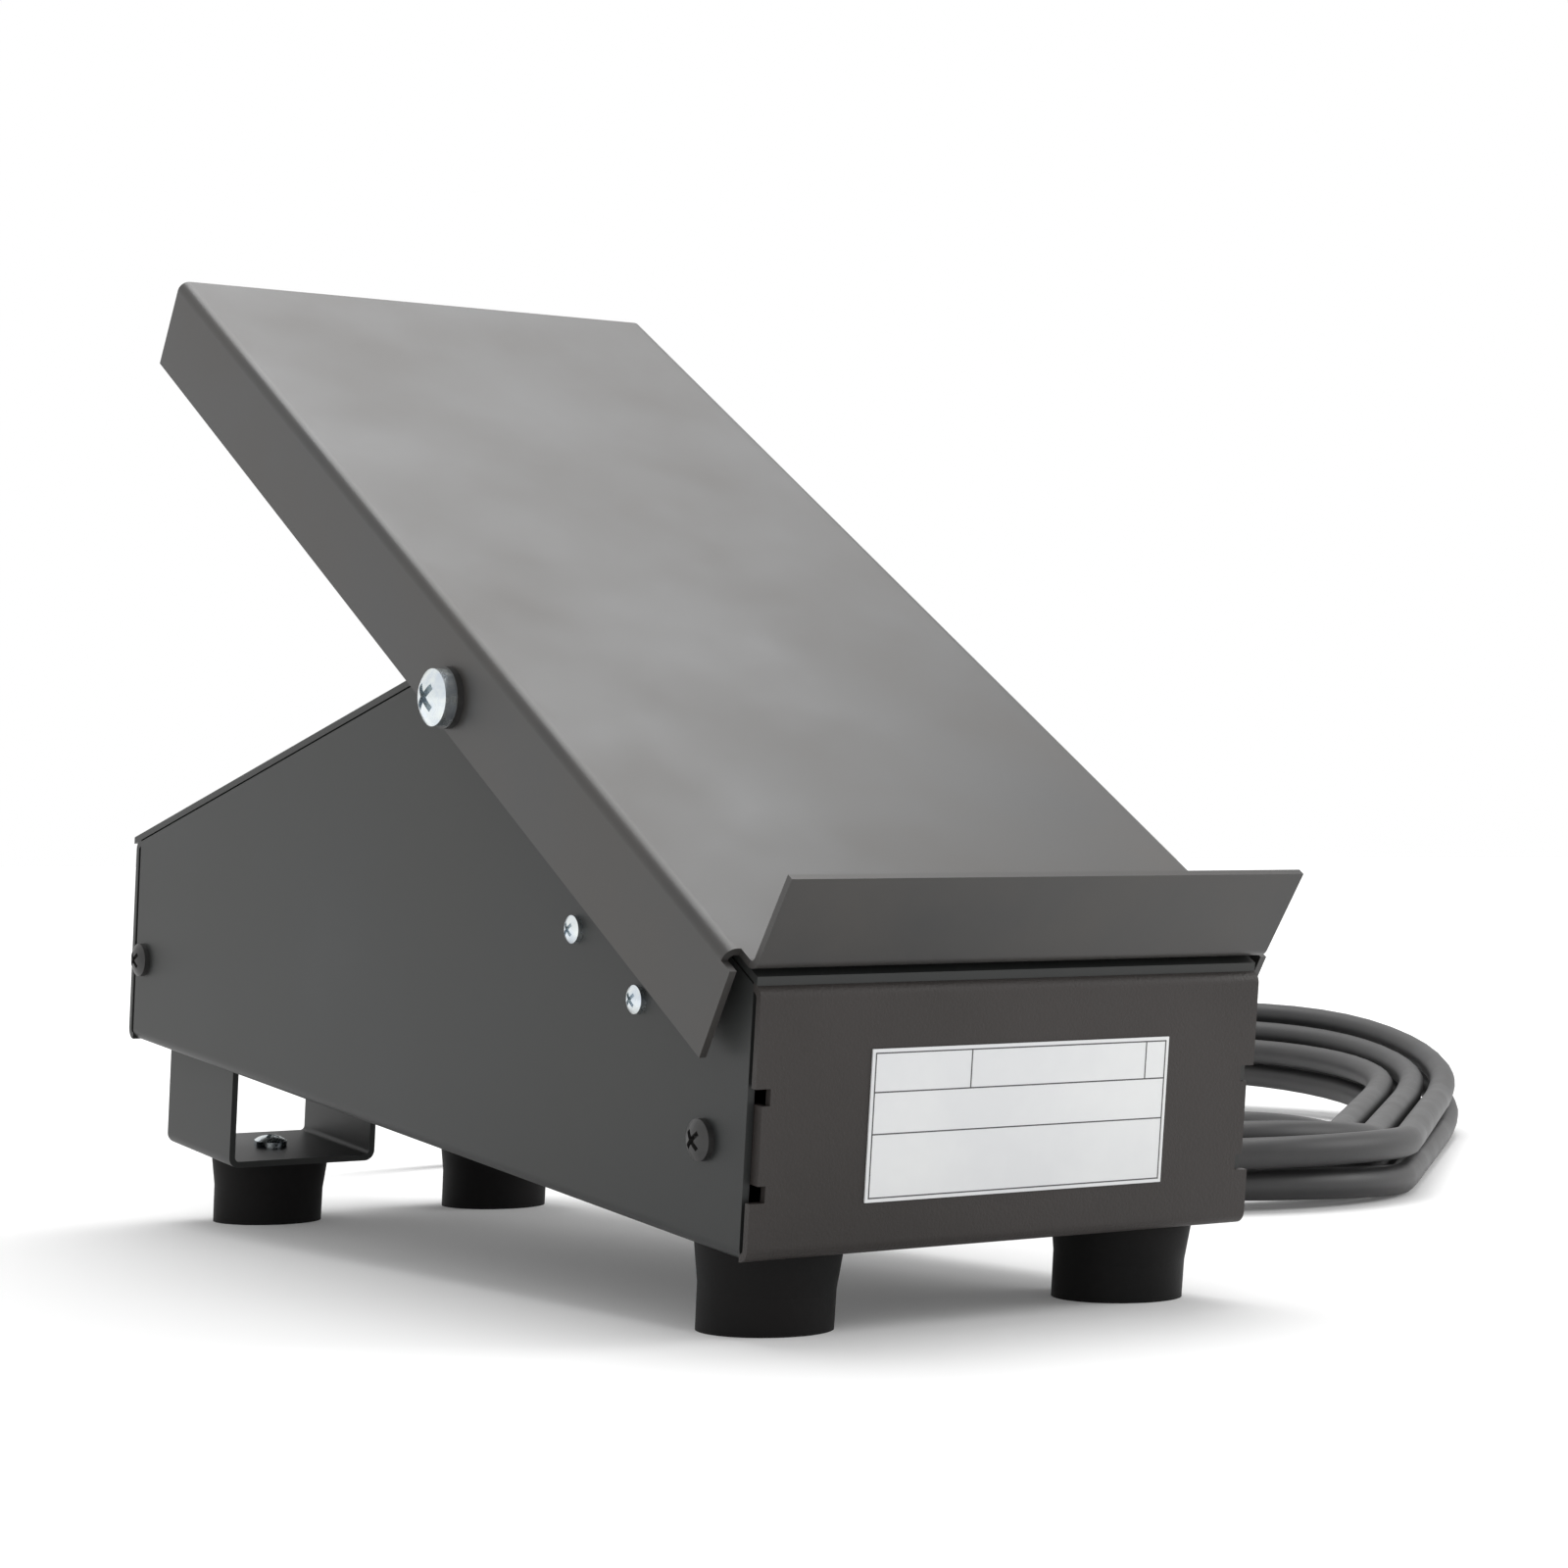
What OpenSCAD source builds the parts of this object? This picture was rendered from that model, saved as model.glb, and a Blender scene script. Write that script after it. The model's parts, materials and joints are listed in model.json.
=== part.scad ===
// Foot pedal that sets a welding current: a folded sheet housing under a tilting treadle.
// Seen from the heel end X points right, Y points from heel to toe and Z points up. The floor is Z = 0.
// The housing is drawn in its own frame, with its bottom flat at Z = 0 and its heel face at Y = 0.

/* [Housing] */
// Width over the side walls
housing_w = 120; // [112:1:150]
// Length from the heel face to the toe face
housing_len = 280.8; // [275:0.1:300]
// Height of the roof at the heel face
heel_h = 52.2; // [50:0.1:58]
// Height of the roof at the toe face
toe_h = 50.3; // [48:0.1:56]
// Slope of the roof that climbs from the heel, in degrees
heel_slope = 26.84; // [25:0.01:28]
// Slope of the roof that falls to the toe, in degrees
toe_slope = 19.06; // [18:0.01:20.5]
// Thickness of the sheet
sheet_t = 1.5; // [1.2:0.1:1.8]
// Outer radius of the folds
fold_r = 2.6; // [2.2:0.1:3.2]
// How far the roof sheet reaches past the toe face
roof_overhang = 1.5; // [0.5:0.1:3]
// Length of the folded flanges under the roof
roof_flange_len = 12; // [8:0.5:18]
// Gap between the top of the side walls and the roof sheet
roof_seam = 0.4; // [0.3:0.1:0.6]
// Distance of the roof sheet's edge from the heel face
roof_setback = 1.5; // [1:0.1:2]

/* [Treadle] */
// Length of the treadle's top plate
treadle_len = 289.9; // [280:0.1:300]
// Gap between a treadle flange and a side wall
side_gap = 3.25; // [3:0.05:4.5]
// Depth of the side flanges
flange_depth = 21.9; // [20:0.1:24]
// How far the flanges stop short of the heel end
heel_cut = 2.7; // [2:0.1:4]
// Length of the heel lip
lip_len = 19.9; // [12:0.1:26]
// Angle between the lip and the top plate, in degrees
lip_angle = 92.6; // [90.5:0.1:100]
// How far the lip stops short of each flange face
lip_inset = 3.5; // [2:0.1:6]
// Gap between the treadle and the roof at rest
rest_gap = 0.9; // [0.8:0.1:1.5]
// Distance of the pivot from the heel face
pivot_y = 115; // [113:0.5:118]
// Depth of the pivot below the top plate
pivot_depth = 15.25; // [14.5:0.05:16]
// Travel of the treadle, in degrees
travel = 40; // [30:1:41]

/* [Pivot] */
// Diameter of the pivot shaft
shaft_d = 10; // [9:0.5:11]
// Diameter and height of the pivot screws' heads
pivot_head_d = 12; // [10:0.1:13]
pivot_head_h = 4.6; // [3.5:0.1:5.5]
// Diameter of the pivot screws' thread
pivot_thread_d = 6; // [5:0.5:6.5]
// Diameter and thickness of the washers under the heads
washer_d = 13; // [12.5:0.1:15]
washer_t = 1.5; // [1:0.1:2]
// Diameter of the bushes in the side walls
bush_d = 14; // [13:0.1:14.5]
// Diameter of the bushes' flanges
bush_flange_d = 17.6; // [16.5:0.1:18]
// Thickness of the bushes' flanges
bush_flange_t = 2.3; // [1.5:0.1:3]

/* [Feet] */
// Height of a foot along its own axis
foot_h = 17.1; // [15:0.1:20]
// Diameter of a foot at its top and at its sole
foot_top_d = 28.8; // [26:0.1:30]
foot_sole_d = 26.4; // [24:0.1:28]
// Distance of the front feet from the heel face and from the middle
front_foot_y = 18; // [16:0.1:24]
front_foot_x = 43; // [38:0.1:44]
// Distance of the rear feet from the heel face and from the middle
rear_foot_y = 256; // [245:0.1:258]
rear_foot_x = 32; // [28:0.1:36]
// Height, width and length of the brackets that carry the rear feet
bracket_h = 25.7; // [22:0.1:30]
bracket_w = 39; // [34:0.1:44]
bracket_len = 36; // [32:0.1:40]

/* [Label] */
// Width and height of the blank label on the heel face
label_w = 71.6; // [50:0.1:90]
label_h = 29; // [20:0.1:32]
// Thickness of the label
label_t = 0.3; // [0.2:0.05:0.5]
// Distance of the label's middle from the middle of the face and from the bottom
label_x = 1.4; // [-8:0.1:8]
label_z = 24.5; // [20:0.1:28]

/* [Current sensor] */
// Module of the gears
gear_module = 1; // [0.9:0.05:1]
// Teeth on a full circle of the sector, and on the pinion
sector_teeth = 84; // [84:1:84]
pinion_teeth = 14; // [14:1:14]
// Thickness of the sector and width of the pinion
sector_t = 6; // [4:0.5:8]
pinion_w = 8; // [8:0.5:10]
// Diameter and length of the potentiometer's can
pot_d = 24; // [20:0.5:26]
pot_len = 10; // [8:0.5:14]
// Diameter of the potentiometer's shaft and of its threaded neck
pot_shaft_d = 6; // [5:0.1:6]
pot_neck_d = 9; // [8:0.1:10]

/* [Switch] */
// Length, height and thickness of the switch's case
switch_len = 27.8; // [27:0.1:29]
switch_h = 15.9; // [14:0.1:17]
switch_t = 10.3; // [9.5:0.1:11]
// Angle that the switch's lever moves through, in degrees
lever_travel = 8; // [6:0.5:8]

/* [Return spring] */
// Outer diameter of the spring and of its wire
spring_d = 10; // [8:0.5:12]
spring_wire_d = 1.2; // [1:0.1:1.4]
// Curls in the spring
spring_curls = 24; // [16:1:28]
// Length of the arm that the spring pulls
spring_arm_len = 25; // [22:0.5:27]

/* [Cable] */
// Diameter of the cable
cable_d = 8; // [6.5:0.1:8.4]
// Step from one turn of the coil to the next, across and up
coil_step = 9.6; // [9.4:0.1:11]
coil_climb = 10; // [9.8:0.1:12]
// Diameter and length of the plug's turning ring
ring_d = 25; // [24:0.5:28]
ring_len = 13; // [10:0.5:14]

/* [Hidden] */

$fn = 64;
overrun = 1;
// Clearance between pieces that move past each other, and of bores round what they hold
clear = 0.3;
running_gap = 0.05;

// Paint and metal colours
steel_black = [0.19, 0.185, 0.18];
treadle_black = [0.25, 0.24, 0.235];
zinc = [0.8, 0.84, 0.88];
black_oxide = [0.1, 0.1, 0.1];
rubber_black = [0.09, 0.09, 0.09];
cable_grey = [0.21, 0.21, 0.215];
brass = [0.76, 0.62, 0.32];
nylon = [0.88, 0.87, 0.82];

// Planes of the roof: height of the two roof lines lowered by a depth square to the sheet
function heel_line(depth) = heel_h - depth / cos(heel_slope);
function toe_line(depth) = toe_h - depth / cos(toe_slope);
function ridge_y(depth) = (toe_line(depth) + tan(toe_slope) * housing_len - heel_line(depth))
  / (tan(heel_slope) + tan(toe_slope));
function ridge_z(depth) = heel_line(depth) + tan(heel_slope) * ridge_y(depth);

// The housing leans on its feet, because the rear feet hang lower on their brackets
tilt = atan(bracket_h / (rear_foot_y - front_foot_y));
frame_z = foot_h * cos(tilt) - front_foot_y * sin(tilt);

// Treadle and pivot
treadle_w = housing_w + 2 * (side_gap + sheet_t);
lip_w = treadle_w - 2 * lip_inset;
pivot_z = heel_h + tan(heel_slope) * pivot_y + (rest_gap + sheet_t - pivot_depth) / cos(heel_slope);
pivot_to_heel = (pivot_y - pivot_depth * sin(heel_slope)) / cos(heel_slope);
pivot_to_toe = treadle_len - pivot_to_heel;
lip_lean = lip_angle - 90;
lip_fold_u = fold_r - pivot_to_heel;
lip_fold_v = pivot_depth - sheet_t + fold_r;
lip_rest = lip_len - fold_r + sheet_t;
inner_x = housing_w / 2 - sheet_t;
flange_x = housing_w / 2 + side_gap;

// The frame's middle lies halfway between the lip's tip and the toe face
tip_u = lip_fold_u - fold_r * cos(lip_lean) - lip_rest * sin(lip_lean);
tip_v = lip_fold_v - fold_r * sin(lip_lean) + lip_rest * cos(lip_lean);
tip_y = pivot_y * cos(tilt) - pivot_z * sin(tilt)
  + tip_u * cos(heel_slope + tilt) - tip_v * sin(heel_slope + tilt);
toe_y = (housing_len - fold_r) * cos(tilt) - fold_r * sin(tilt) + fold_r;
frame_y = -(tip_y + toe_y) / 2;
function on_floor(p) = [p.x, frame_y + p.y * cos(tilt) - p.z * sin(tilt),
  frame_z + p.y * sin(tilt) + p.z * cos(tilt)];

// Screws: diameters of heads and threads, head heights, nut widths over corners and thicknesses
m4_head_d = 8;
m4_head_h = 2.7;
m4_d = 4;
m4_nut_d = 8.1;
m4_nut_h = 3.2;
m3_head_d = 5.6;
m3_head_h = 2.1;
m3_d = 3;
screw_play = 0.4;
head_dome_share = 0.8;
recess_depth_share = 0.5;
recess_len_share = 0.56;
recess_width_share = 0.13;
pivot_screw_len = 16;
spacer_d = shaft_d + 2.4;

// Side screws and the tabs of the end faces that they hold
side_screw_y = 16.8;
toe_screw_inset = 5.3;
side_screw_z = 20.3;
tab_len = 24;
tab_low = 14.4;
tab_high = 29.2;
tab_gap = 0.1;
notch_depth = 3.3;
notch_h = 3.2;

// Gland
gland_x = 0;
gland_z = 24;
gland_thread_d = 16;
gland_flange_d = 22;
gland_flange_t = 5;
gland_cap_d = 19;
gland_tip_d = 13;
gland_cap_len = 13;
gland_nut_t = 5;

// Roof pads
pad_w = 20;
pad_len = 12;
pad_x = 32;
pad_from_heel = 8;
bump_start = 2;
bump_len = 8;
roof_over_pivot = (toe_line(0) + tan(toe_slope) * (housing_len - pivot_y) - pivot_z) * cos(toe_slope);
press_skew = toe_slope + heel_slope - travel;
bump_h = (pivot_depth - sheet_t + bump_start * sin(press_skew)) / cos(press_skew)
  - roof_over_pivot - clear;

// Current sensor: the sector on the pivot shaft turns the pinion on the potentiometer
mesh_dir = 250;
sector_x = -21;
hub_d = 17;
hub_len = 12;
tooth_high = 0.9 * gear_module;
tooth_low = 1.2 * gear_module;
tooth_tip_w = 0.55 * gear_module;
tooth_pitch_w = 1.3 * gear_module;
tooth_root_w = 1.9 * gear_module;
sector_r = gear_module * sector_teeth / 2;
pinion_r = gear_module * pinion_teeth / 2;
sector_step = 360 / sector_teeth;
pinion_step = 360 / pinion_teeth;
spare_teeth = 1;
sector_count = ceil(travel / sector_step) + spare_teeth;
sensor_y = pivot_y + (sector_r + pinion_r) * cos(mesh_dir);
sensor_z = pivot_z + (sector_r + pinion_r) * sin(mesh_dir);
sensor_gap = 18.5;
sensor_plate_x = sensor_gap - inner_x;
sensor_screw_places = [[66.9, 53.6], [42.2, 43.1]];
sensor_flange_edge = 7;
sensor_web_gap = 10;
sensor_plate_edge = 4;
pot_neck_len = 7.5;
pot_nut_d = 13;
pot_nut_t = 2;
pot_shaft_inset = 1;
pot_shaft_len = 25;
pot_tag_w = 2.4;
pot_tag_len = 6;
pot_tag_t = 0.8;

// Switch, its lever and the cam on the pivot shaft
switch_x = 35;
switch_drop = 22;
case_top = pivot_z - switch_drop;
lever_back = 12;
lever_rise = 1.2;
lever_len = 20.5;
lever_rest_angle = 12.3;
lever_t = 0.5;
lever_w = 4;
lever_pin_d = 2;
roller_d = 4.8;
roller_w = 4.6;
ear_t = 1.2;
ear_len = 4;
ear_h = 2.6;
plunger_d = 3;
plunger_from_hinge = 4;
plunger_depth = 4;
hinge_y = pivot_y - lever_back;
hinge_z = case_top + lever_rise;
cam_w = 6;
cam_gap = 0.5;
cam_lead_angle = 14;
function roller_arm(angle) = [lever_len * cos(angle) - lever_back,
  lever_len * sin(angle) + lever_rise - switch_drop];
rest_arm = roller_arm(lever_rest_angle);
press_arm = roller_arm(lever_rest_angle + lever_travel);
cam_dir = atan2(rest_arm.y, rest_arm.x);
cam_high = norm(rest_arm) - roller_d / 2 - cam_gap;
cam_low = norm(press_arm) - roller_d / 2 - cam_gap;
switch_screw_y = 11.1;
switch_plate_edge = 3;
switch_foot_w = 13;

// Return spring between the arm on the shaft and the anchor on the tray
spring_x = 20;
arm_dir = 230;
arm_w = 8;
arm_t = 4;
arm_hub_len = 10;
eye_d = 2.6;
anchor_d = 9;
anchor_h = 8;
anchor_y = 96;
arm_end_y = pivot_y + spring_arm_len * cos(arm_dir);
arm_end_z = pivot_z + spring_arm_len * sin(arm_dir);

// Feet and brackets
foot_waist_inset = 0.5;
foot_bore_d = 4.6;
sole_pocket_d = 9.4;
sole_pocket_h = 7.5;
front_feet = [for (s = [-1, 1]) [s * front_foot_x, front_foot_y, 0]];
rear_feet = [for (s = [-1, 1]) [s * rear_foot_x, rear_foot_y, -bracket_h]];

// Turns a vector into one of length 1
function unit(v) = v / norm(v);

// A smooth curve through hand-chosen points, with a number of steps between two points
function curve_at(a, b, c, d, t) = 0.5 * (2 * b + (c - a) * t + (2 * a - 5 * b + 4 * c - d) * t * t
  + (3 * b - a - 3 * c + d) * t * t * t);
function curve(points, steps) = let (last = len(points) - 1)
  [for (i = [0:last - 1], k = [0:steps - 1])
    curve_at(points[max(i - 1, 0)], points[i], points[i + 1], points[min(i + 2, last)], k / steps),
   points[last]];

// A round tube swept along points, as one closed mesh
module tube(points, d, sides, side_hint) {
  last = len(points) - 1;
  rings = [for (i = [0:last])
    let (t = unit(points[min(i + 1, last)] - points[max(i - 1, 0)]),
         side = unit(cross(side_hint, t)),
         rise = cross(t, side))
    for (k = [0:sides - 1]) points[i] + d / 2 * (cos(360 * k / sides) * side + sin(360 * k / sides) * rise)];
  walls = [for (i = [0:last - 1], k = [0:sides - 1])
    let (a = i * sides + k, b = i * sides + (k + 1) % sides)
    for (f = [[a, a + sides, b + sides], [a, b + sides, b]]) f];
  start_cap = [for (k = [1:sides - 2]) [0, k, k + 1]];
  end_cap = [for (k = [1:sides - 2]) [last * sides, last * sides + k + 1, last * sides + k]];
  polyhedron(rings, concat(walls, start_cap, end_cap));
}

// The coil: turns round an egg shape that runs clockwise, first inwards low, then outwards above
near_centre = [198, 56];
far_centre = [288, 232];
near_r = 66;
far_r = 135;
rings_per_turn = 24;
// Shares of one turn where the left run, the far bend, the right run and the near bend end
run_shares = [0.125, 0.541667, 0.666667, 1];
coil_axis = far_centre - near_centre;
coil_dir = atan2(coil_axis.y, coil_axis.x);
coil_flare = asin((far_r - near_r) / norm(coil_axis));
start_dir = 150;
coil_turns = 6;
far_bend_start = coil_dir + 90 + coil_flare;
far_bend_end = coil_dir - 90 - coil_flare;
near_bend_end = coil_dir - 270 + coil_flare;
coil_start = run_shares[0] + (run_shares[1] - run_shares[0]) * (far_bend_start - start_dir)
  / (far_bend_start - far_bend_end);
coil_middle = (coil_start + coil_turns) / 2;
function heading(angle) = [cos(angle), sin(angle)];
function share_of(q, low, high) = (q - low) / (high - low);
function smooth(t) = let (c = min(max(t, 0), 1)) c * c * (3 - 2 * c);
// The direction out of the loop and the centreline at a place q of the turn, drawn in by a step
function loop_dir(q) = q < run_shares[0] ? far_bend_start
  : q < run_shares[1] ? far_bend_start + (far_bend_end - far_bend_start) * share_of(q, run_shares[0], run_shares[1])
  : q < run_shares[2] ? far_bend_end
  : far_bend_end + (near_bend_end - far_bend_end) * share_of(q, run_shares[2], run_shares[3]);
function loop_centre(q) = q < run_shares[0] ? near_centre + share_of(q, 0, run_shares[0]) * coil_axis
  : q < run_shares[1] ? far_centre
  : q < run_shares[2] ? far_centre - share_of(q, run_shares[1], run_shares[2]) * coil_axis
  : near_centre;
function loop_radius(q) = q < run_shares[0] ? near_r + share_of(q, 0, run_shares[0]) * (far_r - near_r)
  : q < run_shares[1] ? far_r
  : q < run_shares[2] ? far_r - share_of(q, run_shares[1], run_shares[2]) * (far_r - near_r)
  : near_r;
// The far side of the coil is propped up, its outer turns most, and the near side's inner turns ride up
lift_dir = [0.558, 0.83];
lift_start = 290;
lift_end = 460;
lift_outer = 22;
lift_inner_drop = 5.5;
near_rise = 4;
near_rise_end = 60;
function coil_height(place, inwards) = let (along = place * lift_dir)
  smooth((along - lift_start) / (lift_end - lift_start)) * (lift_outer - lift_inner_drop * inwards)
  + (1 - smooth((along - near_centre * lift_dir + near_r) / near_rise_end)) * near_rise * inwards;
function coil_point(s) = let (
    q = s - floor(s),
    inwards = coil_middle - coil_start - abs(s - coil_middle),
    out = heading(loop_dir(q)),
    place = loop_centre(q) + (loop_radius(q) - coil_step * inwards) * out,
    layer = smooth((s - coil_middle) * 2 + 0.5))
  [place.x, place.y, cable_d / 2 + layer * coil_climb + coil_height(place, inwards)];
coil_rings = round((coil_turns - coil_start) * rings_per_turn);
function coil_ring(i) = coil_point(coil_start + (coil_turns - coil_start) * i / coil_rings);
coil_in_dir = unit(coil_ring(1) - coil_ring(0));
coil_out_dir = unit(coil_ring(coil_rings) - coil_ring(coil_rings - 1));
coil_in = coil_ring(0) - cable_d * coil_in_dir;
coil_out = coil_ring(coil_rings) + cable_d * coil_out_dir;
coil_path = concat([coil_in], [for (i = [0:coil_rings]) coil_ring(i)], [coil_out]);
// Least gap between strands, measured on points
gap_points = [for (s = [coil_start:1 / 72:coil_turns]) coil_point(s)];
strand_gaps = [for (i = [0:len(gap_points) - 1], j = [i + 36:1:len(gap_points) - 1])
  norm(gap_points[i] - gap_points[j]) - cable_d];
echo(least_gap_in_coil = min(strand_gaps));

// Cable from the gland to the coil, and from the coil to the plug, lying on the floor
gland_tip = on_floor([gland_x, housing_len + gland_flange_t + gland_cap_len, gland_z]);
gland_out = [0, cos(tilt), sin(tilt)];
lead_route = [[2, 185, 70], [6, 197, 66], [13, 208, 58], [23, 218, 48], [36, 226, 36], [51, 231, 24],
  [67, 234, 14], [84, 236, 8], [101, 238, 5], [118, 241, 4], [133, 248, 4], [145, 258, 4],
  [154, 271, 5]];
lead_path = concat([gland_tip], curve(concat([gland_tip + cable_d * gland_out], lead_route,
  [coil_in - cable_d * coil_in_dir, coil_in]), 1));
tail_route = [[134, 92, 12], [130, 105, 10], [124, 117, 9], [118, 128, 9], [113, 140, 11]];
plug_start = [112, 158, ring_d / 2];
tail_path = concat([coil_out], curve(concat([coil_out + cable_d * coil_out_dir], tail_route,
  [plug_start - [0, cable_d, 0]]), 2), [plug_start]);
lead_sides = 10;
coil_sides = 6;

// Plug
boot_len = 20;
boot_d = 15;
boot_tip_d = 10;
plug_body_d = 20;
plug_body_len = 20;
nose_d = 18;
nose_len = 13.6;
tip_d = 17;
tip_len = 8.4;
nose_bore_d = 14;
nose_bore_len = 9;
pin_d = 2;
pin_len = 7;
pin_circle_d = 8;
pin_count = 5;

// Frames of the housing and of the treadle
module in_housing() {
  translate([0, frame_y, frame_z]) rotate([tilt, 0, 0]) children();
}
module at_pivot() {
  in_housing() translate([0, pivot_y, pivot_z]) children();
}
module in_treadle() {
  at_pivot() rotate([heel_slope, 0, 0]) children();
}
// Extrudes a side view, drawn in Y and Z, from x over a width
module side_view(x, width) {
  translate([x, 0, 0]) rotate([90, 0, 90]) linear_extrude(width) children();
}
// Extrudes a front view, drawn in X and Z, from y over a length
module front_view(y, length) {
  translate([0, y + length, 0]) rotate([90, 0, 0]) linear_extrude(length) children();
}
module along_x(x, d, length) {
  translate([x, 0, 0]) rotate([0, 90, 0]) cylinder(d = d, h = length);
}
module both_sides() {
  for (s = [-1, 1]) mirror([s < 0 ? 1 : 0, 0, 0]) children();
}

// Folded sheet
module fold_arc(from, to) {
  middle = (from + to) / 2;
  intersection() {
    difference() {
      circle(fold_r);
      circle(fold_r - sheet_t);
    }
    polygon([[0, 0], for (a = [from, middle, to]) 2 * fold_r * heading(a)]);
  }
}
module channel_fill(width, height, r) {
  translate([-width / 2, r]) square([width, height - r]);
  translate([r - width / 2, 0]) square([width - 2 * r, height]);
  for (s = [-1, 1]) translate([s * (width / 2 - r), r]) circle(r);
}
module channel(width, height) {
  difference() {
    channel_fill(width, height, fold_r);
    translate([0, sheet_t]) channel_fill(width - 2 * sheet_t, height, fold_r - sheet_t);
  }
}
// Side view of an end face that folds up from the floor and in under the roof
module end_face(height, slope) {
  low = [fold_r, fold_r];
  high = [fold_r, height - sheet_t / cos(slope) + tan(slope) * fold_r - fold_r / cos(slope)];
  flange = roof_flange_len * heading(slope);
  out = fold_r * heading(90 + slope);
  in = (fold_r - sheet_t) * heading(90 + slope);
  polygon(concat(
    arc_points(low, fold_r, 270, 180), arc_points(high, fold_r, 180, 90 + slope),
    [high + out + flange, high + in + flange],
    arc_points(high, fold_r - sheet_t, 90 + slope, 180), arc_points(low, fold_r - sheet_t, 180, 270)));
}
fold_steps = 8;
function arc_points(centre, r, from, to) =
  [for (k = [0:fold_steps]) centre + r * heading(from + (to - from) * k / fold_steps)];

// Screws and nuts stand along Z with the seat of the head at Z = 0
module pan_screw(head_d, head_h, thread_d, length) {
  difference() {
    rotate_extrude() intersection() {
      square([head_d / 2, head_h]);
      translate([0, head_h - head_dome_share * head_d]) circle(head_dome_share * head_d);
    }
    for (a = [45, 135]) rotate(a)
      translate([-recess_len_share * head_d / 2, -recess_width_share * head_d / 2,
        head_h * (1 - recess_depth_share)])
        cube([recess_len_share * head_d, recess_width_share * head_d, head_h]);
  }
  translate([0, 0, -length]) cylinder(d = thread_d, h = length);
}
module nut(d, height, bore) {
  difference() {
    cylinder(d = d, h = height, $fn = 6);
    translate([0, 0, -overrun]) cylinder(d = bore, h = height + 2 * overrun);
  }
}
module at_side_screws() {
  for (y = [side_screw_y, housing_len - toe_screw_inset - sheet_t], s = [-1, 1])
    translate([s * housing_w / 2, y, side_screw_z]) rotate([0, s * 90, 0]) children();
}
module at_sensor_screws() {
  for (p = sensor_screw_places) translate([-housing_w / 2, p.x, p.y]) rotate([0, -90, 0]) children();
}

// Floor and side walls, folded from one sheet; the end panels close it and are screwed on by their tabs
module base_tray() color(steel_black) in_housing() difference() {
  intersection() {
    front_view(0, housing_len) channel(housing_w, ridge_z(0));
    side_view(-housing_w / 2, housing_w) polygon([
      [fold_r, -overrun],
      [housing_len - fold_r, -overrun],
      [housing_len - fold_r, toe_line(sheet_t + roof_seam) + tan(toe_slope) * fold_r],
      [ridge_y(sheet_t + roof_seam), ridge_z(sheet_t + roof_seam)],
      [fold_r, heel_line(sheet_t + roof_seam) + tan(heel_slope) * fold_r]]);
  }
  translate([0, pivot_y, pivot_z]) along_x(-housing_w / 2 - overrun, bush_d + running_gap,
    housing_w + 2 * overrun);
  at_side_screws() translate([0, 0, -2 * sheet_t]) cylinder(d = m4_d + screw_play, h = 4 * sheet_t);
  at_sensor_screws() translate([0, 0, -2 * sheet_t]) cylinder(d = m3_d + screw_play, h = 3 * sheet_t);
  for (p = front_feet) translate([p.x, p.y, -overrun])
    cylinder(d = m4_d + screw_play, h = sheet_t + 2 * overrun);
}

module end_panel(height, slope, notched) difference() {
  union() {
    side_view(-housing_w / 2, housing_w) end_face(height, slope);
    both_sides() translate([inner_x - tab_gap - sheet_t, 0, tab_low])
      cube([sheet_t, tab_len, tab_high - tab_low]);
  }
  both_sides() {
    if (notched) for (z = [tab_low - notch_h, tab_high])
      translate([housing_w / 2 - notch_depth, -overrun, z])
        cube([notch_depth + overrun, sheet_t + overrun, notch_h]);
    if (notched) translate([inner_x - tab_gap, -overrun, tab_low])
      cube([sheet_t + tab_gap + overrun, sheet_t + 2 * overrun, tab_high - tab_low]);
    translate([inner_x - tab_gap, fold_r, tab_high + notch_h])
      cube([sheet_t + tab_gap + overrun, roof_flange_len, height]);
  }
}
module heel_panel() color(steel_black) in_housing() difference() {
  end_panel(heel_h, heel_slope, true);
  at_side_screws() translate([0, 0, -4 * sheet_t]) cylinder(d = m4_d + screw_play, h = 6 * sheet_t);
}
module toe_panel() color(steel_black) in_housing() difference() {
  translate([0, housing_len, 0]) mirror([0, 1, 0]) end_panel(toe_h, toe_slope, false);
  at_side_screws() translate([0, 0, -4 * sheet_t]) cylinder(d = m4_d + screw_play, h = 6 * sheet_t);
  translate([gland_x, housing_len - 2 * sheet_t, gland_z]) rotate([-90, 0, 0])
    cylinder(d = gland_thread_d + clear, h = 3 * sheet_t);
}

module roof_cover() color(steel_black) in_housing() side_view(-housing_w / 2, housing_w) polygon([
  [roof_setback, heel_line(sheet_t) + tan(heel_slope) * roof_setback],
  [ridge_y(sheet_t), ridge_z(sheet_t)],
  [housing_len + roof_overhang, toe_line(sheet_t) - tan(toe_slope) * roof_overhang],
  [housing_len + roof_overhang, toe_line(0) - tan(toe_slope) * roof_overhang],
  [ridge_y(0), ridge_z(0)],
  [roof_setback, heel_line(0) + tan(heel_slope) * roof_setback]]);

module label_plate() color("white") in_housing()
  translate([label_x - label_w / 2, -label_t, label_z - label_h / 2]) cube([label_w, label_t, label_h]);

module bush() color(nylon) at_pivot() difference() {
  union() {
    along_x(inner_x - bush_flange_t, bush_flange_d, bush_flange_t);
    along_x(inner_x - bush_flange_t, bush_d, bush_flange_t + sheet_t);
  }
  along_x(inner_x - bush_flange_t - overrun, shaft_d + 2 * running_gap,
    bush_flange_t + sheet_t + 2 * overrun);
}
module right_bush() bush();
module left_bush() mirror([1, 0, 0]) bush();

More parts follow.
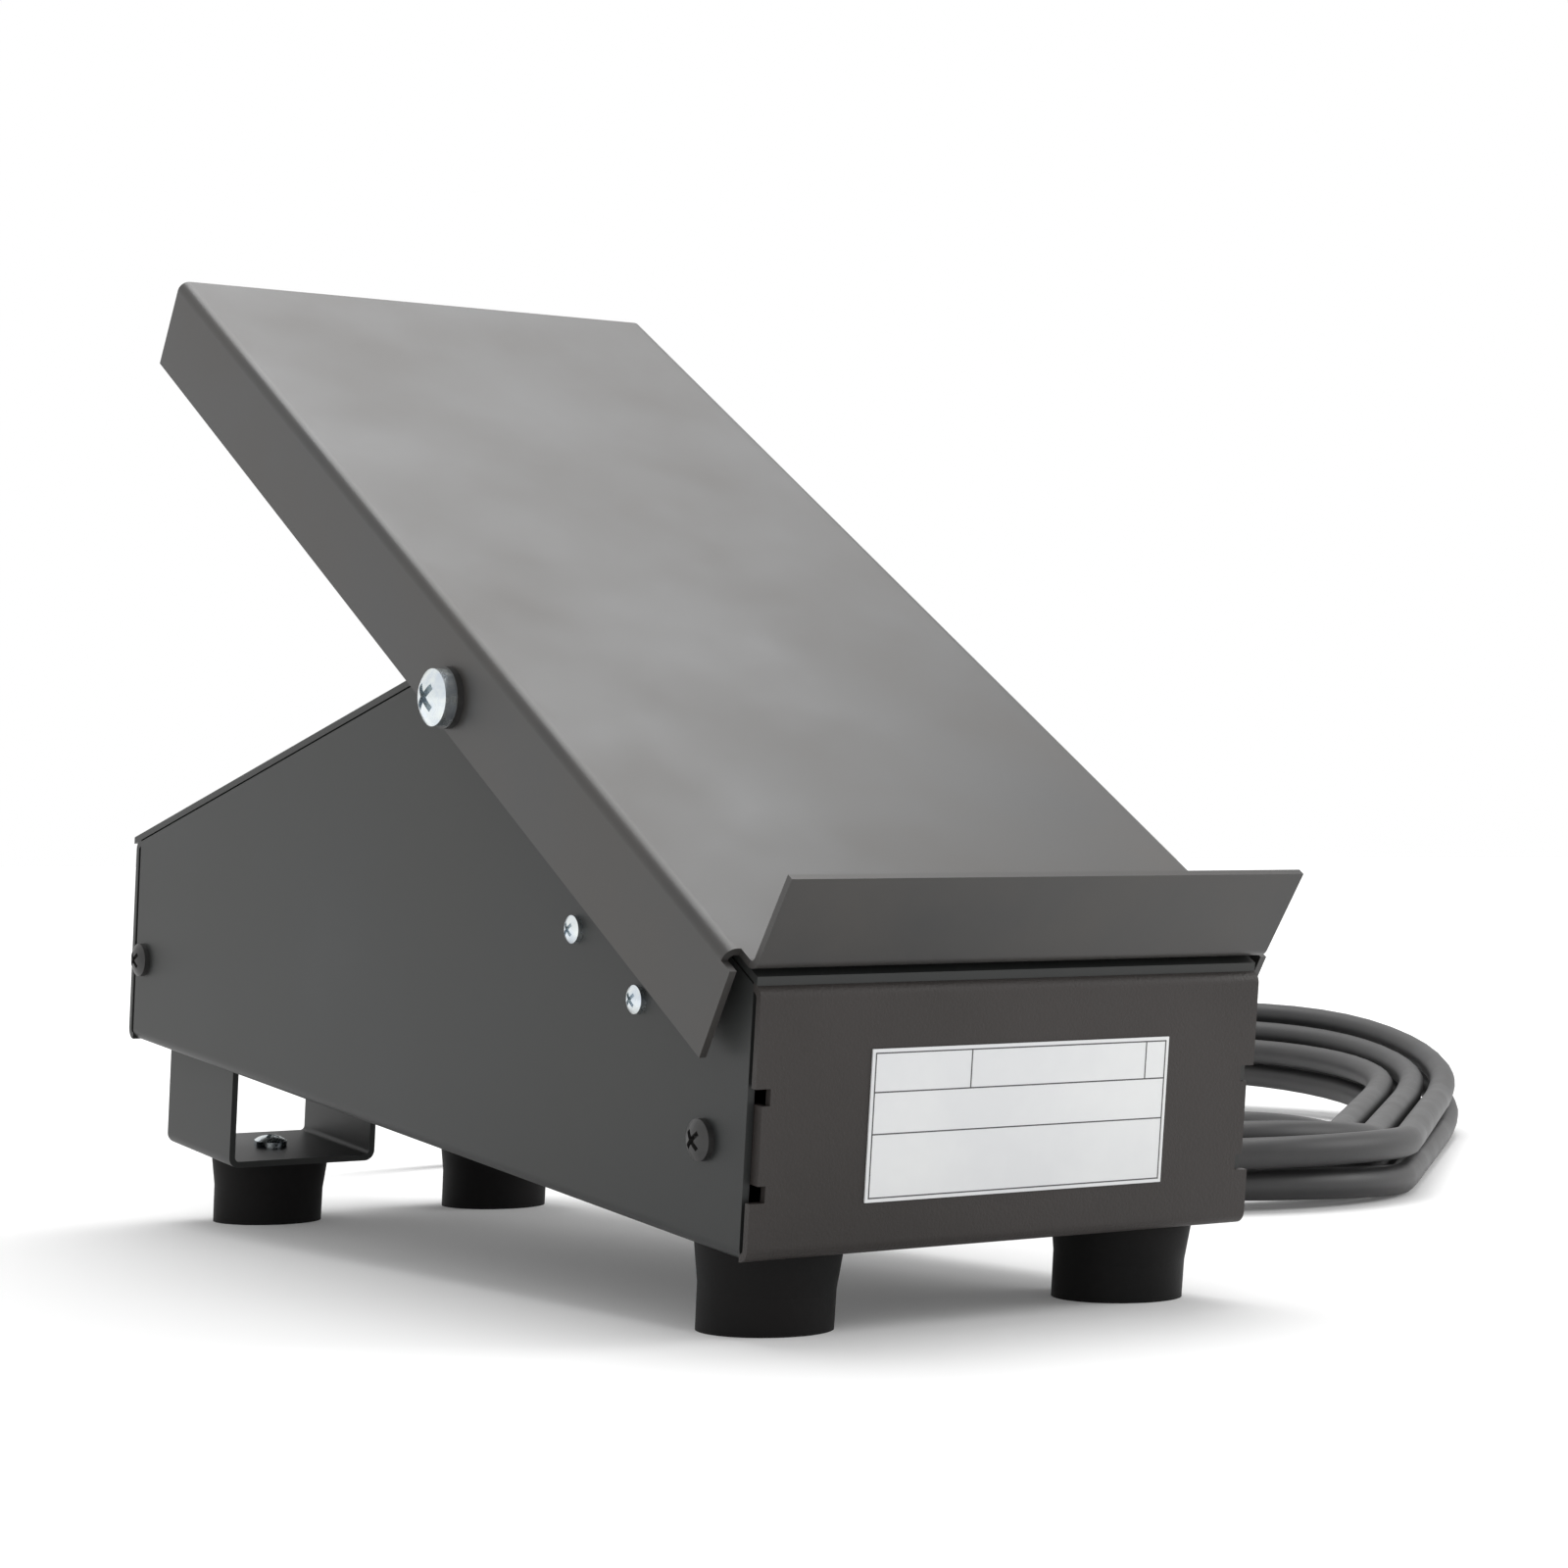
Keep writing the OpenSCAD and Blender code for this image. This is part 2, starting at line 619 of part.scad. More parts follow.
module side_screws() color(black_oxide) in_housing() at_side_screws()
  pan_screw(m4_head_d, m4_head_h, m4_d, 2 * sheet_t + tab_gap + m4_nut_h);
module side_nuts() color(zinc) in_housing() at_side_screws()
  translate([0, 0, -2 * sheet_t - tab_gap - m4_nut_h]) nut(m4_nut_d, m4_nut_h, m4_d);

module rear_bracket(place) color(steel_black) in_housing() difference() {
  translate([place.x, 0, place.z]) front_view(place.y - bracket_len / 2, bracket_len)
    channel(bracket_w, bracket_h);
  translate([place.x, place.y, place.z - overrun]) cylinder(d = m4_d + screw_play, h = sheet_t + 2 * overrun);
}
module rear_left_bracket() rear_bracket(rear_feet[0]);
module rear_right_bracket() rear_bracket(rear_feet[1]);

// A foot is moulded square to the sheet and its sole is level with the floor
module foot(place) {
  sole_play = foot_sole_d * tan(tilt);
  color(rubber_black) difference() {
    in_housing() translate(place) rotate_extrude() polygon([
      [foot_bore_d / 2, 0],
      [foot_top_d / 2, 0],
      [(foot_top_d + foot_sole_d) / 4 - foot_waist_inset, -foot_h / 2],
      [foot_sole_d / 2, -foot_h - sole_play],
      [sole_pocket_d / 2, -foot_h - sole_play],
      [sole_pocket_d / 2, sole_pocket_h - foot_h],
      [foot_bore_d / 2, sole_pocket_h - foot_h]]);
    translate([-housing_w, -housing_len, -foot_h]) cube([2 * housing_w, 2 * housing_len, foot_h]);
  }
}
module front_left_foot() foot(front_feet[0]);
module front_right_foot() foot(front_feet[1]);
module rear_left_foot() foot(rear_feet[0]);
module rear_right_foot() foot(rear_feet[1]);

module foot_screws() color(zinc) in_housing() for (p = concat(front_feet, rear_feet))
  translate(p + [0, 0, sheet_t])
    pan_screw(m4_head_d, m4_head_h, m4_d, sheet_t + foot_h - sole_pocket_h + m4_nut_h);
module foot_nuts() color(zinc) in_housing() for (p = concat(front_feet, rear_feet))
  translate(p + [0, 0, sole_pocket_h - foot_h - m4_nut_h]) nut(m4_nut_d, m4_nut_h, m4_d);

module rest_pads() color(rubber_black) in_housing() for (s = [-1, 1])
  translate([s * pad_x - pad_w / 2, 0, heel_h]) rotate([heel_slope, 0, 0])
    translate([0, pad_from_heel, 0]) cube([pad_w, pad_len, rest_gap - clear]);
module bump_pads() color(rubber_black) at_pivot() for (s = [-1, 1])
  translate([s * pad_x - pad_w / 2, 0, 0]) rotate([-toe_slope, 0, 0])
    translate([0, bump_start, roof_over_pivot]) cube([pad_w, bump_len, bump_h]);

// Current sensor
module sensor_bracket() color(steel_black) in_housing() {
  low = sensor_screw_places[1] - [sensor_flange_edge, sensor_flange_edge];
  high = sensor_screw_places[0] + [sensor_flange_edge, sensor_flange_edge];
  difference() {
    union() {
      translate([-inner_x, low.x, low.y]) cube([sheet_t, high.x - low.x, high.y - low.y]);
      translate([-inner_x, high.x, low.y]) cube([sensor_gap + sheet_t, sheet_t, high.y - low.y]);
      translate([sensor_plate_x, high.x, sensor_z - pot_d / 2 - sensor_plate_edge])
        cube([sheet_t, sensor_y + pot_d / 2 + sensor_plate_edge - high.x, pot_d + 2 * sensor_plate_edge]);
    }
    at_sensor_screws() translate([0, 0, -4 * sheet_t]) cylinder(d = m3_d, h = 4 * sheet_t);
    translate([0, sensor_y, sensor_z]) along_x(sensor_plate_x - overrun, pot_neck_d + 2 * running_gap,
      sheet_t + 2 * overrun);
  }
}
module sensor_screws() color(zinc) in_housing() at_sensor_screws()
  pan_screw(m3_head_d, m3_head_h, m3_d - running_gap, 2 * sheet_t);
module at_sensor() {
  in_housing() translate([0, sensor_y, sensor_z]) children();
}
module potentiometer_body() color([0.2, 0.32, 0.4]) at_sensor() difference() {
  union() {
    along_x(sensor_plate_x - pot_len, pot_d, pot_len);
    along_x(sensor_plate_x - overrun, pot_neck_d, pot_neck_len + overrun);
    for (k = [-1, 0, 1]) translate([sensor_plate_x - pot_len / 2, k * 2 * pot_tag_w - pot_tag_w / 2,
      -pot_d / 2 - pot_tag_len / 2]) cube([pot_tag_t, pot_tag_w, pot_tag_len]);
  }
  along_x(sensor_plate_x - pot_shaft_inset, pot_shaft_d + 2 * running_gap, pot_neck_len + 2 * overrun);
}
module potentiometer_nut() color(zinc) at_sensor() translate([sensor_plate_x + sheet_t, 0, 0])
  rotate([0, 90, 0]) nut(pot_nut_d, pot_nut_t, pot_neck_d + running_gap);
module sensor_shaft() color(zinc) at_sensor()
  along_x(sensor_plate_x - pot_shaft_inset + clear, pot_shaft_d, pot_shaft_len);

// Gear tooth that points along Y, on a pitch circle of radius r
module tooth(r) {
  polygon([[r - tooth_low, -tooth_root_w / 2], [r, -tooth_pitch_w / 2], [r + tooth_high, -tooth_tip_w / 2],
    [r + tooth_high, tooth_tip_w / 2], [r, tooth_pitch_w / 2], [r - tooth_low, tooth_root_w / 2]]);
}
module sector_gear() color(zinc) at_pivot() difference() {
  union() {
    along_x(sector_x - hub_len / 2, hub_d, hub_len);
    side_view(sector_x - sector_t / 2, sector_t) {
      for (k = [-spare_teeth:sector_count]) rotate(mesh_dir + k * sector_step) tooth(sector_r);
      intersection() {
        circle(sector_r - tooth_low + running_gap);
        polygon([[0, 0], for (k = [-spare_teeth, sector_count / 2, sector_count])
          2 * sector_r * heading(mesh_dir + k * sector_step)]);
      }
    }
  }
  along_x(sector_x - hub_len, shaft_d, 2 * hub_len);
}
module pinion_gear() color(brass) at_sensor() difference() {
  side_view(sector_x - pinion_w / 2, pinion_w) {
    circle(pinion_r - tooth_low + running_gap);
    for (k = [0:pinion_teeth - 1]) rotate(mesh_dir + 180 + (k + 0.5) * pinion_step) tooth(pinion_r);
  }
  along_x(sector_x - pinion_w, pot_shaft_d, 2 * pinion_w);
}

// Pivot shaft and what turns with it
module pivot_shaft() color(zinc) at_pivot() difference() {
  along_x(-flange_x, shaft_d, 2 * flange_x);
  both_sides() along_x(flange_x - pivot_screw_len, pivot_thread_d + running_gap, pivot_screw_len + overrun);
}
module shaft_spacers() color(nylon) at_pivot() both_sides() difference() {
  along_x(housing_w / 2 + clear, spacer_d, side_gap - clear);
  along_x(housing_w / 2, shaft_d, side_gap + overrun);
}
module pivot_washers() color(black_oxide) at_pivot() both_sides() difference() {
  along_x(flange_x + sheet_t, washer_d, washer_t);
  along_x(flange_x, pivot_thread_d + screw_play, sheet_t + washer_t + overrun);
}
module pivot_screws() color(zinc) at_pivot() both_sides()
  translate([flange_x + sheet_t + washer_t, 0, 0]) rotate([0, 90, 0])
    pan_screw(pivot_head_d, pivot_head_h, pivot_thread_d, sheet_t + washer_t + pivot_screw_len - overrun);
module spring_arm() color(zinc) at_pivot() difference() {
  union() {
    along_x(spring_x - arm_hub_len / 2, hub_d, arm_hub_len);
    side_view(spring_x - arm_t / 2, arm_t) {
      rotate(arm_dir) translate([0, -arm_w / 2]) square([spring_arm_len, arm_w]);
      translate(spring_arm_len * heading(arm_dir)) circle(d = arm_w);
    }
  }
  along_x(spring_x - arm_hub_len, shaft_d, 2 * arm_hub_len);
  translate([0, spring_arm_len * cos(arm_dir), spring_arm_len * sin(arm_dir)])
    along_x(spring_x - arm_t, eye_d, 2 * arm_t);
}
module switch_cam() color(nylon) at_pivot() difference() {
  union() {
    along_x(switch_x - arm_hub_len / 2, hub_d, arm_hub_len);
    side_view(switch_x - cam_w / 2, cam_w) polygon([[0, 0],
      cam_high * heading(cam_dir - cam_lead_angle),
      for (k = [0:8]) (cam_high + (cam_low - cam_high) * k / 8) * heading(cam_dir + travel * k / 8),
      cam_low * heading(cam_dir + travel + cam_lead_angle)]);
  }
  along_x(switch_x - arm_hub_len, shaft_d, 2 * arm_hub_len);
}

// Treadle: a channel open below, whose heel end folds up into a lip
module treadle() color(treadle_black) in_treadle() difference() {
  union() {
    translate([0, 0, pivot_depth]) mirror([0, 0, 1])
      front_view(heel_cut - pivot_to_heel, treadle_len - heel_cut) channel(treadle_w, flange_depth);
    side_view(-lip_w / 2, lip_w) translate([lip_fold_u, lip_fold_v]) {
      fold_arc(180 + lip_lean, 270);
      rotate(lip_lean) translate([-fold_r, 0]) square([sheet_t, lip_rest]);
    }
  }
  along_x(-treadle_w, pivot_thread_d + screw_play, 2 * treadle_w);
  both_sides() translate([lip_w / 2, -pivot_to_heel - overrun, pivot_depth - fold_r])
    cube([lip_inset + overrun, heel_cut + lip_inset + overrun, fold_r + overrun]);
}

// Switch
module switch_bracket() color(steel_black) in_housing() difference() {
  front_view(pivot_y - switch_len / 2 - switch_plate_edge, switch_len + 2 * switch_plate_edge)
    translate([switch_x + switch_t / 2, sheet_t]) {
      square([sheet_t, case_top - sheet_t - switch_plate_edge]);
      square([switch_foot_w, sheet_t]);
    }
  at_switch_screws() translate([0, 0, -overrun]) cylinder(d = m3_d + running_gap, h = switch_t);
}
module at_switch_screws() {
  for (s = [-1, 1]) translate([switch_x, pivot_y + s * switch_screw_y, case_top - switch_h / 2])
    rotate([0, 90, 0]) children();
}
module switch_case() color(black_oxide) in_housing() difference() {
  union() {
    translate([switch_x - switch_t / 2, pivot_y - switch_len / 2, case_top - switch_h])
      cube([switch_t, switch_len, switch_h]);
    for (s = [-1, 1]) translate([switch_x + s * (lever_w + ear_t + clear) / 2 - ear_t / 2,
      hinge_y - ear_len / 2, case_top]) cube([ear_t, ear_len, ear_h]);
  }
  translate([0, hinge_y, hinge_z]) along_x(switch_x - switch_t, lever_pin_d + 2 * running_gap, 2 * switch_t);
  translate([switch_x, hinge_y + plunger_from_hinge, case_top - plunger_depth])
    cylinder(d = plunger_d + 2 * running_gap, h = plunger_depth + overrun);
  at_switch_screws() translate([0, 0, -switch_t]) cylinder(d = m3_d + running_gap, h = 2 * switch_t);
}
module switch_screws() color(zinc) in_housing() at_switch_screws() translate([0, 0, -switch_t / 2])
  mirror([0, 0, 1]) pan_screw(m3_head_d, m3_head_h, m3_d, switch_t + sheet_t);
module switch_lever() color(zinc) in_housing() translate([0, hinge_y, hinge_z]) {
  along_x(switch_x - lever_w / 2 - ear_t, lever_pin_d, lever_w + 2 * ear_t);
  side_view(switch_x - lever_w / 2, lever_w) rotate(lever_rest_angle)
    translate([0, -lever_t / 2]) square([lever_len, lever_t]);
  translate([0, lever_len * cos(lever_rest_angle), lever_len * sin(lever_rest_angle)])
    along_x(switch_x - roller_w / 2, roller_d, roller_w);
}
module switch_plunger() color(nylon) in_housing()
  translate([switch_x, hinge_y + plunger_from_hinge, case_top - plunger_depth + clear])
    cylinder(d = plunger_d, h = plunger_depth + lever_rise - 3 * clear
      + (plunger_from_hinge - plunger_d / 2) * tan(lever_rest_angle));

// Return spring
module spring_anchor() color(zinc) in_housing() translate([spring_x, anchor_y, sheet_t])
  cylinder(d = anchor_d, h = anchor_h);
module return_spring() {
  foot = [spring_x, anchor_y, sheet_t + anchor_h + clear + spring_wire_d / 2];
  top = [spring_x, arm_end_y, arm_end_z - arm_w / 2 - clear - spring_wire_d / 2];
  steps = 8 * spring_curls;
  coil_r = (spring_d - spring_wire_d) / 2;
  color(zinc) in_housing() tube([for (i = [0:steps])
    foot + (top - foot) * i / steps + coil_r * [cos(45 * i), sin(45 * i), 0]], spring_wire_d, 6, [0, 0, 1]);
}

// Wires inside the housing, from the sensor and from the switch to the gland
wire_d = 3;
wire_floor = 7;
wire_end = [4, 3];
wire_turn = 12;
gland_nut_y = housing_len - sheet_t - gland_nut_t;
sensor_wire_route = [[sensor_plate_x - pot_len / 2, sensor_y, sensor_z - pot_d / 2 - pot_tag_len],
  [sensor_plate_x - pot_len / 2, sensor_y + wire_floor, (sensor_z - pot_d / 2) / 2],
  [sensor_plate_x - pot_len / 2, sensor_y + 3 * wire_turn, wire_floor],
  [sensor_plate_x, (sensor_y + gland_nut_y) / 2, wire_floor],
  [gland_x - 2 * wire_end.x, gland_nut_y - 2 * wire_turn, gland_z - wire_end.y],
  [gland_x - wire_end.x, gland_nut_y, gland_z]];
switch_wire_route = [[switch_x, pivot_y, case_top - switch_h],
  [switch_x, pivot_y + wire_floor, (case_top - switch_h) / 2],
  [switch_x, pivot_y + 3 * wire_turn, wire_floor],
  [switch_x - wire_turn, (pivot_y + gland_nut_y) / 2, wire_floor],
  [gland_x + 2 * wire_end.x, gland_nut_y - 2 * wire_turn, gland_z - wire_end.y],
  [gland_x + wire_end.x, gland_nut_y, gland_z]];
wire_hint = [1, 0.1, 0];
module sensor_wires() color([0.55, 0.12, 0.1]) in_housing() tube(curve(sensor_wire_route, 5), wire_d, 8, wire_hint);
module switch_wires() color([0.15, 0.25, 0.5]) in_housing() tube(curve(switch_wire_route, 5), wire_d, 8, wire_hint);

// Cable, gland and plug
module cable_gland() color(rubber_black) in_housing()
  translate([gland_x, housing_len, gland_z]) rotate([-90, 0, 0]) {
    cylinder(d = gland_flange_d, h = gland_flange_t, $fn = 6);
    translate([0, 0, gland_flange_t]) rotate_extrude() polygon([[0, 0], [gland_cap_d / 2, 0],
      [gland_cap_d / 2, gland_cap_len / 2], [gland_tip_d / 2, gland_cap_len], [0, gland_cap_len]]);
    translate([0, 0, -sheet_t - gland_nut_t]) cylinder(d = gland_thread_d, h = sheet_t + gland_nut_t);
  }
module gland_nut() color(rubber_black) in_housing() translate([gland_x, gland_nut_y, gland_z])
  rotate([-90, 0, 0]) nut(gland_flange_d, gland_nut_t, gland_thread_d + running_gap);
module cable_lead() color(cable_grey) tube(lead_path, cable_d, lead_sides, [0, 0, 1]);
module cable_coil() color(cable_grey) tube(coil_path, cable_d, coil_sides, [0, 0, 1]);
module cable_tail() color(cable_grey) tube(tail_path, cable_d, lead_sides, [0, 0, 1]);
module at_plug(y) {
  translate(plug_start + [0, y, 0]) rotate([-90, 0, 0]) children();
}
module plug_boot() color(rubber_black) at_plug(0) rotate_extrude()
  polygon([[0, 0], [boot_tip_d / 2, 0], [boot_d / 2, boot_len], [0, boot_len]]);
module plug_body() color(zinc) at_plug(boot_len) difference() {
  union() {
    cylinder(d = plug_body_d, h = plug_body_len);
    cylinder(d = nose_d, h = plug_body_len + nose_len);
    cylinder(d = tip_d, h = plug_body_len + nose_len + tip_len);
  }
  translate([0, 0, plug_body_len + nose_len + tip_len - nose_bore_len]) cylinder(d = nose_bore_d, h = nose_bore_len + overrun);
}
module plug_pins() color(brass) at_plug(boot_len + plug_body_len + nose_len + tip_len - nose_bore_len)
  for (k = [0:pin_count - 1]) rotate(360 * k / pin_count) translate([pin_circle_d / 2, 0, 0])
    cylinder(d = pin_d, h = pin_len);
module plug_ring() color(black_oxide) at_plug(boot_len + plug_body_len + clear) difference() {
  cylinder(d = ring_d, h = ring_len);
  translate([0, 0, -overrun]) cylinder(d = nose_d + 2 * running_gap, h = ring_len + 2 * overrun);
}

base_tray();
heel_panel();
toe_panel();
roof_cover();
label_plate();
left_bush();
right_bush();
side_screws();
side_nuts();
rear_left_bracket();
rear_right_bracket();
front_left_foot();
front_right_foot();
rear_left_foot();
rear_right_foot();
foot_screws();
foot_nuts();
rest_pads();
bump_pads();
sensor_bracket();
sensor_screws();
potentiometer_body();
potentiometer_nut();
switch_bracket();
switch_case();
switch_screws();
spring_anchor();
return_spring();
sensor_wires();
switch_wires();
cable_gland();
gland_nut();
treadle();
pivot_screws();
pivot_washers();
shaft_spacers();
pivot_shaft();
sector_gear();
spring_arm();
switch_cam();
sensor_shaft();
pinion_gear();
switch_lever();
switch_plunger();
cable_lead();
cable_coil();
cable_tail();
plug_boot();
plug_body();
plug_pins();
plug_ring();
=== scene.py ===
# Foot pedal for a welding current: looks, cable, light and camera. All lengths are in metres.
import json
import math
import bpy
from mathutils import Matrix, Vector


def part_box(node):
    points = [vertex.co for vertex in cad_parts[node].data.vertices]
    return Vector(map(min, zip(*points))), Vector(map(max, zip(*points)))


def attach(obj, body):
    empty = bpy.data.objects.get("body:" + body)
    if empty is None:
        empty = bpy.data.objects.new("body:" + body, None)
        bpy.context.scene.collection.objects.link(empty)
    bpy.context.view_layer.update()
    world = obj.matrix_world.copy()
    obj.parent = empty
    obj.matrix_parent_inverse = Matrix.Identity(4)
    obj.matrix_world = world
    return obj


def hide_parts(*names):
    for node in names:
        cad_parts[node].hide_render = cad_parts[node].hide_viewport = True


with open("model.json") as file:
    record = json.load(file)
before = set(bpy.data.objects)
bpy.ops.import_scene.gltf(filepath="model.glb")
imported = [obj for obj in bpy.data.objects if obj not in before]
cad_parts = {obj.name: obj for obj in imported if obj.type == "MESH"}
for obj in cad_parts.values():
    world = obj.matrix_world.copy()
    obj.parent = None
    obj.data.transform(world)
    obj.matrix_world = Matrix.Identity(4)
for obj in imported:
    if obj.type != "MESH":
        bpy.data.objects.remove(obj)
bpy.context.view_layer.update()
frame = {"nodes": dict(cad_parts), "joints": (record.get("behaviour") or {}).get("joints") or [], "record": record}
MM = 0.001

# Camera: place, angles in degrees and lens that match the photograph
CAMERA_PLACE = Vector((-0.41735, -0.6755, 0.09105))
CAMERA_HEADING = 33.91
CAMERA_RISE = 1.06
CAMERA_ROLL = -0.27
CAMERA_LENS = 81.535
SENSOR_WIDTH = 36.0
CLIP_START, CLIP_END = 0.02, 60


def add_camera():
    heading, rise = math.radians(CAMERA_HEADING), math.radians(CAMERA_RISE)
    forward = Vector((math.sin(heading) * math.cos(rise), math.cos(heading) * math.cos(rise), math.sin(rise)))
    data = bpy.data.cameras.new("camera")
    data.lens = CAMERA_LENS
    data.sensor_width = SENSOR_WIDTH
    data.clip_start, data.clip_end = CLIP_START, CLIP_END
    camera = bpy.data.objects.new("camera", data)
    bpy.context.scene.collection.objects.link(camera)
    camera.rotation_mode = "QUATERNION"
    turn = forward.to_track_quat("-Z", "Y")
    camera.rotation_quaternion = turn @ Matrix.Rotation(math.radians(CAMERA_ROLL), 3, "Z").to_quaternion()
    camera.location = CAMERA_PLACE
    bpy.context.scene.camera = camera


add_camera()

# Directions of the housing, which leans on its feet: the plunger slides square to the housing's floor
plunger = next(joint for joint in frame["joints"] if joint["name"] == "plunger_slide")
HOUSING_UP = Vector(plunger["axis"]).normalized()
HOUSING_TOE = Vector((0, HOUSING_UP.z, -HOUSING_UP.y))

# Cable: sizes and route in millimetres and degrees, as the model has them
CABLE_D = 8
NEAR_CENTRE, FAR_CENTRE = Vector((198, 56)), Vector((288, 232))
NEAR_R, FAR_R = 66, 135
RUN_SHARES = (0.125, 0.541667, 0.666667, 1)
START_DIR = 150
COIL_TURNS = 6
COIL_STEP, COIL_CLIMB = 9.6, 10
LIFT_DIR = Vector((0.558, 0.83))
LIFT_START, LIFT_END, LIFT_OUTER, LIFT_INNER_DROP = 290, 460, 22, 5.5
NEAR_RISE, NEAR_RISE_END = 4, 60
LAYER_TURNS = 0.5
STEPS_PER_TURN, LEAD_STEPS, TAIL_STEPS = 96, 4, 5
BEVEL_STEPS = 5
LEAD_ROUTE = [(2, 185, 70), (6, 197, 66), (13, 208, 58), (23, 218, 48), (36, 226, 36), (51, 231, 24),
              (67, 234, 14), (84, 236, 8), (101, 238, 5), (118, 241, 4), (133, 248, 4), (145, 258, 4),
              (154, 271, 5)]
TAIL_ROUTE = [(134, 92, 12), (130, 105, 10), (124, 117, 9), (118, 128, 9), (113, 140, 11)]
PLUG_START = Vector((112, 158, 12.5))

axis = FAR_CENTRE - NEAR_CENTRE
axis_dir = math.degrees(math.atan2(axis.y, axis.x))
flare = math.degrees(math.asin((FAR_R - NEAR_R) / axis.length))
far_start, far_end = axis_dir + 90 + flare, axis_dir - 90 - flare
near_end = axis_dir - 270 + flare
coil_start = RUN_SHARES[0] + (RUN_SHARES[1] - RUN_SHARES[0]) * (far_start - START_DIR) / (far_start - far_end)
coil_middle = (coil_start + COIL_TURNS) / 2


def smooth(t):
    """0 below 0, 1 above 1, and a soft step between them."""
    t = min(max(t, 0), 1)
    return t * t * (3 - 2 * t)


def loop(q):
    """Centre of the bend, radius and outward direction at a place q of one turn."""
    a, b, c, d = RUN_SHARES
    if q < a:
        share = q / a
        return NEAR_CENTRE + share * axis, NEAR_R + share * (FAR_R - NEAR_R), far_start
    if q < b:
        return FAR_CENTRE, FAR_R, far_start + (far_end - far_start) * (q - a) / (b - a)
    if q < c:
        share = (q - b) / (c - b)
        return FAR_CENTRE - share * axis, FAR_R - share * (FAR_R - NEAR_R), far_end
    return NEAR_CENTRE, NEAR_R, far_end + (near_end - far_end) * (q - c) / (d - c)


def coil_point(s):
    """Centre of the cable after s turns: inwards on the floor, then outwards in a second layer."""
    inwards = coil_middle - coil_start - abs(s - coil_middle)
    centre, radius, angle = loop(s - math.floor(s))
    out = Vector((math.cos(math.radians(angle)), math.sin(math.radians(angle))))
    place = centre + (radius - COIL_STEP * inwards) * out
    along = place.dot(LIFT_DIR)
    lift = smooth((along - LIFT_START) / (LIFT_END - LIFT_START)) * (LIFT_OUTER - LIFT_INNER_DROP * inwards)
    rise = (1 - smooth((along - NEAR_CENTRE.dot(LIFT_DIR) + NEAR_R) / NEAR_RISE_END)) * NEAR_RISE * inwards
    layer = smooth((s - coil_middle) / LAYER_TURNS + 0.5)
    return Vector((place.x, place.y, CABLE_D / 2 + layer * COIL_CLIMB + lift + rise))


def curve_points(points, steps):
    """A smooth curve through points, with a number of steps between two of them."""
    last = len(points) - 1
    made = []
    for i in range(last):
        a, b = points[max(i - 1, 0)], points[i]
        c, d = points[i + 1], points[min(i + 2, last)]
        for k in range(steps):
            t = k / steps
            made.append(0.5 * (2 * b + (c - a) * t + (2 * a - 5 * b + 4 * c - d) * t * t
                               + (3 * b - a - 3 * c + d) * t * t * t))
    return made + [points[-1]]


def gland_tip():
    """Where the cable leaves the gland: the middle of its first ring, in line with the gland, in millimetres."""
    lead_low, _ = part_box("cable_lead")
    gland_low, gland_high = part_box("cable_gland")
    ring = [v.co for v in frame["nodes"]["cable_lead"].data.vertices if v.co.y < lead_low.y + CABLE_D * MM / 4]
    tip = sum(ring, Vector()) / len(ring)
    tip.x = (gland_low.x + gland_high.x) / 2
    return tip / MM


def cable_route():
    tip = gland_tip()
    steps = round((COIL_TURNS - coil_start) * STEPS_PER_TURN)
    coil = [coil_point(coil_start + (COIL_TURNS - coil_start) * i / steps) for i in range(steps + 1)]
    way_in = (coil[1] - coil[0]).normalized()
    way_out = (coil[-1] - coil[-2]).normalized()
    lead = [tip, tip + CABLE_D * HOUSING_TOE] + [Vector(p) for p in LEAD_ROUTE]
    lead += [coil[0] - CABLE_D * way_in, coil[0]]
    tail = [coil[-1], coil[-1] + CABLE_D * way_out] + [Vector(p) for p in TAIL_ROUTE]
    tail += [PLUG_START - Vector((0, CABLE_D, 0)), PLUG_START]
    return curve_points(lead, LEAD_STEPS)[:-1] + coil[:-1] + curve_points(tail, TAIL_STEPS)


def add_cable():
    """One curve, whose thickness is set by its points' radius."""
    route = [p * MM for p in cable_route()]
    data = bpy.data.curves.new("cable", "CURVE")
    data.dimensions = "3D"
    data.bevel_depth = 1
    data.bevel_resolution = BEVEL_STEPS
    data.use_fill_caps = True
    spline = data.splines.new("POLY")
    spline.points.add(len(route) - 1)
    for point, place in zip(spline.points, route):
        point.co = (*place, 1)
        point.radius = CABLE_D * MM / 2
    spline.use_smooth = True
    cable = bpy.data.objects.new("cable", data)
    bpy.context.scene.collection.objects.link(cable)
    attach(cable, "housing")
    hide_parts("cable_lead", "cable_coil", "cable_tail")
    return cable


cable = add_cable()


# Materials: the clouds set colour and gloss, and the grain is bump
CLOUD_DETAIL, CLOUD_ROUGHNESS = 5, 0.55
GRAIN_DETAIL, GRAIN_ROUGHNESS = 3, 0.6
COLOUR_RANGE, GLOSS_RANGE = (0.35, 0.68), (0.3, 0.7)
# A colour mix node's sockets
MIX_FACTOR, MIX_FIRST, MIX_SECOND, MIX_RESULT = 0, 6, 7, 2


def new_material(name):
    material = bpy.data.materials.new(name)
    material.use_nodes = True
    return material, material.node_tree, material.node_tree.nodes["Principled BSDF"]


